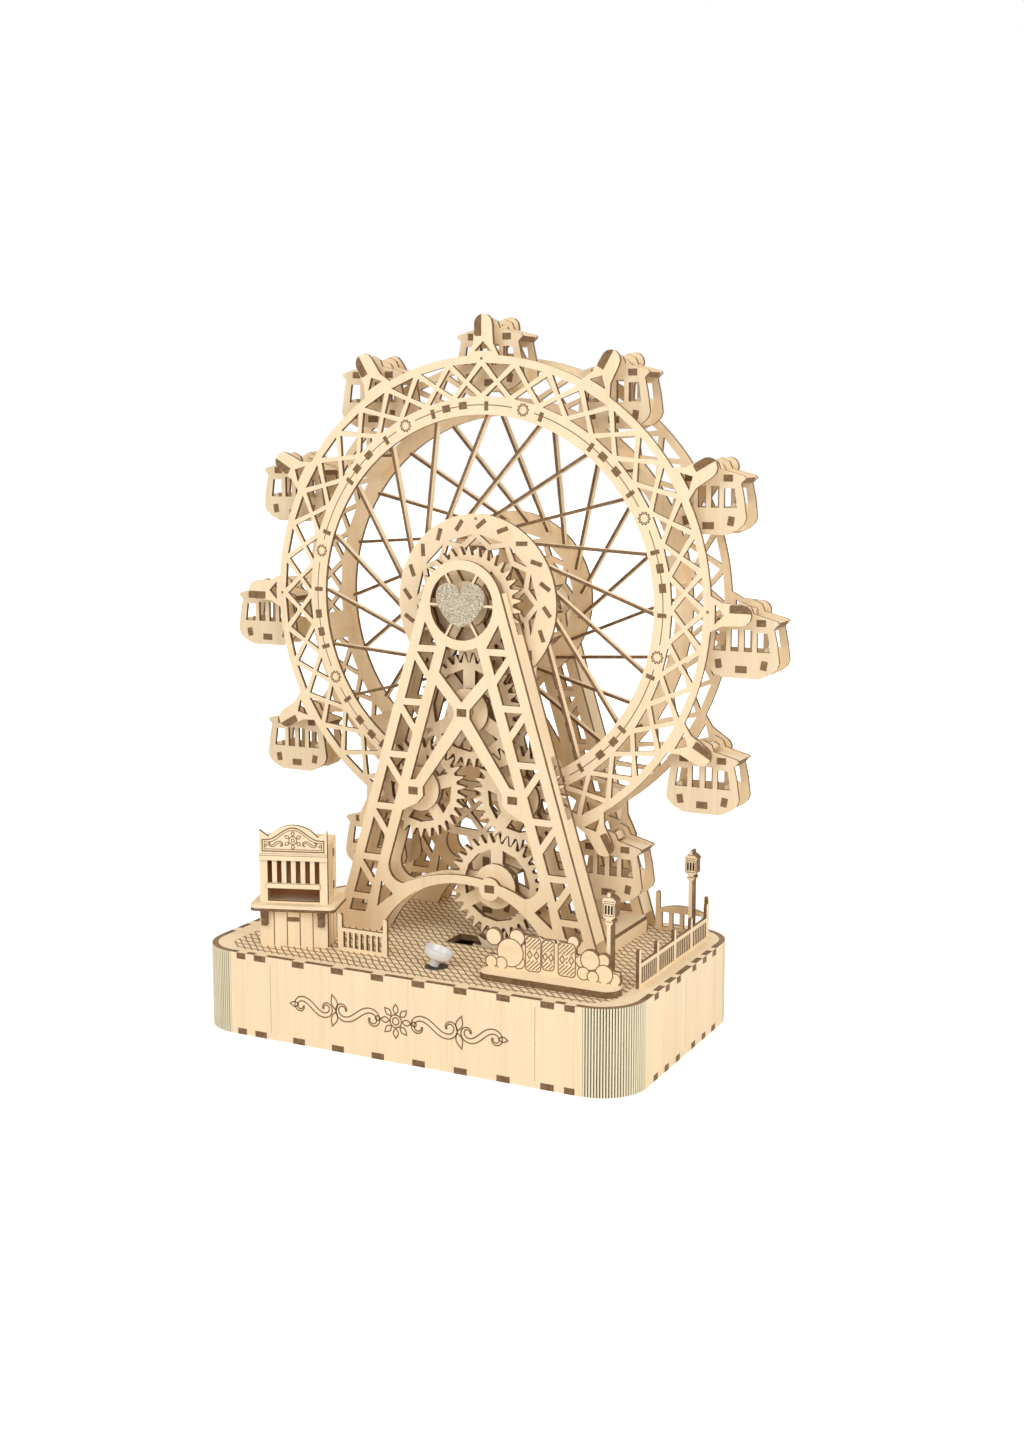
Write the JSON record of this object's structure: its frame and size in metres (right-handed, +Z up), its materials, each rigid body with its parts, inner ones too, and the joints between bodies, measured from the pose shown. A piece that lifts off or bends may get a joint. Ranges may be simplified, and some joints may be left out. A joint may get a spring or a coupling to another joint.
{
  "type": "hand-cranked ferris wheel toy",
  "caption": "Laser-cut plywood ferris wheel on a hollow base: a hand crank turns a gear train, two lattice rings and hanging cabins.",
  "frame": {"origin": "centre of the base's underside, on the surface that the toy stands on", "axes": "+Z up, -Y to the front where the heart and the gear train face, +X to the right with the side fence and lamps; the wheel's axle lies along Y"},
  "size_m": [0.293, 0.1575, 0.3382],
  "materials": {
    "plywood": "raw basswood plywood with a fine straight grain and laser-cut edges burnt brown",
    "glitter": "plywood faced with a champagne glitter film",
    "clear_lens": "clear moulded acrylic",
    "dark_socket": "black moulded plastic"
  },
  "bodies": {
    "root": {"base_corner_walls": "plywood", "base_deck": "plywood", "base_floor": "plywood", "base_front_panel": "plywood", "base_left_panel": "plywood", "base_rear_panel": "plywood", "base_right_panel": "plywood", "boarding_step": "plywood", "booth_cabinet": "plywood", "booth_counter": "plywood", "booth_kiosk": "plywood", "crank_bracket": "plywood", "deck_fences": "plywood", "front_tower_inner_plate": "plywood", "front_tower_outer_plate": "plywood", "front_tower_side_strips": "plywood", "gear_pivots": "plywood", "heart_emblem": "glitter", "lamp_posts": "plywood", "rear_tower_inner_plate": "plywood", "rear_tower_outer_plate": "plywood", "rear_tower_side_strips": "plywood", "sign_base": "plywood", "sign_hedge": "plywood", "spotlight_lens": "clear_lens", "spotlight_socket": "dark_socket"},
    "wheel": {"front_ring": "plywood", "rear_ring": "plywood", "front_hub_disc": "plywood", "rear_hub_disc": "plywood", "hub_cross_panels": "plywood", "front_spokes": "plywood", "rear_spokes": "plywood", "rim_cross_panels": "plywood", "cabin_pins": "plywood", "main_shaft": "plywood", "shaft_collar": "plywood", "wheel_gear": "plywood"},
    "first_idler": {"first_idler_gear": "plywood"},
    "left_idler": {"left_idler_gear": "plywood"},
    "right_idler": {"right_idler_gear": "plywood"},
    "lower_drive": {"lower_drive_gear": "plywood"},
    "crank": {"crank_shaft": "plywood", "crank_arm": "plywood", "crank_handle": "plywood", "crank_pinion": "plywood"},
    "cabin_01": {"cabin_01": "plywood"},
    "cabin_02": {"cabin_02": "plywood"},
    "cabin_03": {"cabin_03": "plywood"},
    "cabin_04": {"cabin_04": "plywood"},
    "cabin_05": {"cabin_05": "plywood"},
    "cabin_06": {"cabin_06": "plywood"},
    "cabin_07": {"cabin_07": "plywood"},
    "cabin_08": {"cabin_08": "plywood"},
    "cabin_09": {"cabin_09": "plywood"},
    "cabin_10": {"cabin_10": "plywood"},
    "cabin_11": {"cabin_11": "plywood"},
    "cabin_12": {"cabin_12": "plywood"}
  },
  "joints": [
    {"name": "wheel_spin", "type": "hinge", "parent": "root", "child": "wheel", "pos_m": [0, 0.029, 0.203], "axis": [0, 1, 0], "continuous": true},
    {"name": "first_idler_spin", "type": "hinge", "parent": "root", "child": "first_idler", "pos_m": [0, 0.0021, 0.152], "axis": [0, 1, 0], "continuous": true},
    {"name": "left_idler_spin", "type": "hinge", "parent": "root", "child": "left_idler", "pos_m": [-0.0268, 0.0021, 0.11218], "axis": [0, 1, 0], "continuous": true},
    {"name": "right_idler_spin", "type": "hinge", "parent": "root", "child": "right_idler", "pos_m": [0.0268, 0.0021, 0.11218], "axis": [0, 1, 0], "continuous": true},
    {"name": "lower_drive_spin", "type": "hinge", "parent": "root", "child": "lower_drive", "pos_m": [0.0146, 0.0021, 0.06809], "axis": [0, 1, 0], "continuous": true},
    {"name": "crank_spin", "type": "hinge", "parent": "root", "child": "crank", "pos_m": [0.0146, 0.0021, 0.03284], "axis": [0, 1, 0], "continuous": true},
    {"name": "cabin_01_swing", "type": "hinge", "parent": "wheel", "child": "cabin_01", "pos_m": [0.0009, 0.029, 0.3316], "axis": [0, 1, 0], "continuous": true},
    {"name": "cabin_02_swing", "type": "hinge", "parent": "wheel", "child": "cabin_02", "pos_m": [0.06508, 0.029, 0.31392], "axis": [0, 1, 0], "continuous": true},
    {"name": "cabin_03_swing", "type": "hinge", "parent": "wheel", "child": "cabin_03", "pos_m": [0.11182, 0.029, 0.26652], "axis": [0, 1, 0], "continuous": true},
    {"name": "cabin_04_swing", "type": "hinge", "parent": "wheel", "child": "cabin_04", "pos_m": [0.1286, 0.029, 0.2021], "axis": [0, 1, 0], "continuous": true},
    {"name": "cabin_05_swing", "type": "hinge", "parent": "wheel", "child": "cabin_05", "pos_m": [0.11092, 0.029, 0.13792], "axis": [0, 1, 0], "continuous": true},
    {"name": "cabin_06_swing", "type": "hinge", "parent": "wheel", "child": "cabin_06", "pos_m": [0.06352, 0.029, 0.09118], "axis": [0, 1, 0], "continuous": true},
    {"name": "cabin_07_swing", "type": "hinge", "parent": "wheel", "child": "cabin_07", "pos_m": [-0.0009, 0.029, 0.0744], "axis": [0, 1, 0], "continuous": true},
    {"name": "cabin_08_swing", "type": "hinge", "parent": "wheel", "child": "cabin_08", "pos_m": [-0.06508, 0.029, 0.09208], "axis": [0, 1, 0], "continuous": true},
    {"name": "cabin_09_swing", "type": "hinge", "parent": "wheel", "child": "cabin_09", "pos_m": [-0.11182, 0.029, 0.13948], "axis": [0, 1, 0], "continuous": true},
    {"name": "cabin_10_swing", "type": "hinge", "parent": "wheel", "child": "cabin_10", "pos_m": [-0.1286, 0.029, 0.2039], "axis": [0, 1, 0], "continuous": true},
    {"name": "cabin_11_swing", "type": "hinge", "parent": "wheel", "child": "cabin_11", "pos_m": [-0.11092, 0.029, 0.26808], "axis": [0, 1, 0], "continuous": true},
    {"name": "cabin_12_swing", "type": "hinge", "parent": "wheel", "child": "cabin_12", "pos_m": [-0.06352, 0.029, 0.31482], "axis": [0, 1, 0], "continuous": true}
  ],
  "couplings": [
    {"joint": "first_idler_spin", "follows": "wheel_spin", "ratio": -1},
    {"joint": "left_idler_spin", "follows": "wheel_spin", "ratio": 1.1333},
    {"joint": "right_idler_spin", "follows": "wheel_spin", "ratio": 1.1333},
    {"joint": "lower_drive_spin", "follows": "wheel_spin", "ratio": -1.0968},
    {"joint": "crank_spin", "follows": "wheel_spin", "ratio": 2.125},
    {"joint": "cabin_01_swing", "follows": "wheel_spin", "ratio": -1},
    {"joint": "cabin_02_swing", "follows": "wheel_spin", "ratio": -1},
    {"joint": "cabin_03_swing", "follows": "wheel_spin", "ratio": -1},
    {"joint": "cabin_04_swing", "follows": "wheel_spin", "ratio": -1},
    {"joint": "cabin_05_swing", "follows": "wheel_spin", "ratio": -1},
    {"joint": "cabin_06_swing", "follows": "wheel_spin", "ratio": -1},
    {"joint": "cabin_07_swing", "follows": "wheel_spin", "ratio": -1},
    {"joint": "cabin_08_swing", "follows": "wheel_spin", "ratio": -1},
    {"joint": "cabin_09_swing", "follows": "wheel_spin", "ratio": -1},
    {"joint": "cabin_10_swing", "follows": "wheel_spin", "ratio": -1},
    {"joint": "cabin_11_swing", "follows": "wheel_spin", "ratio": -1},
    {"joint": "cabin_12_swing", "follows": "wheel_spin", "ratio": -1}
  ]
}
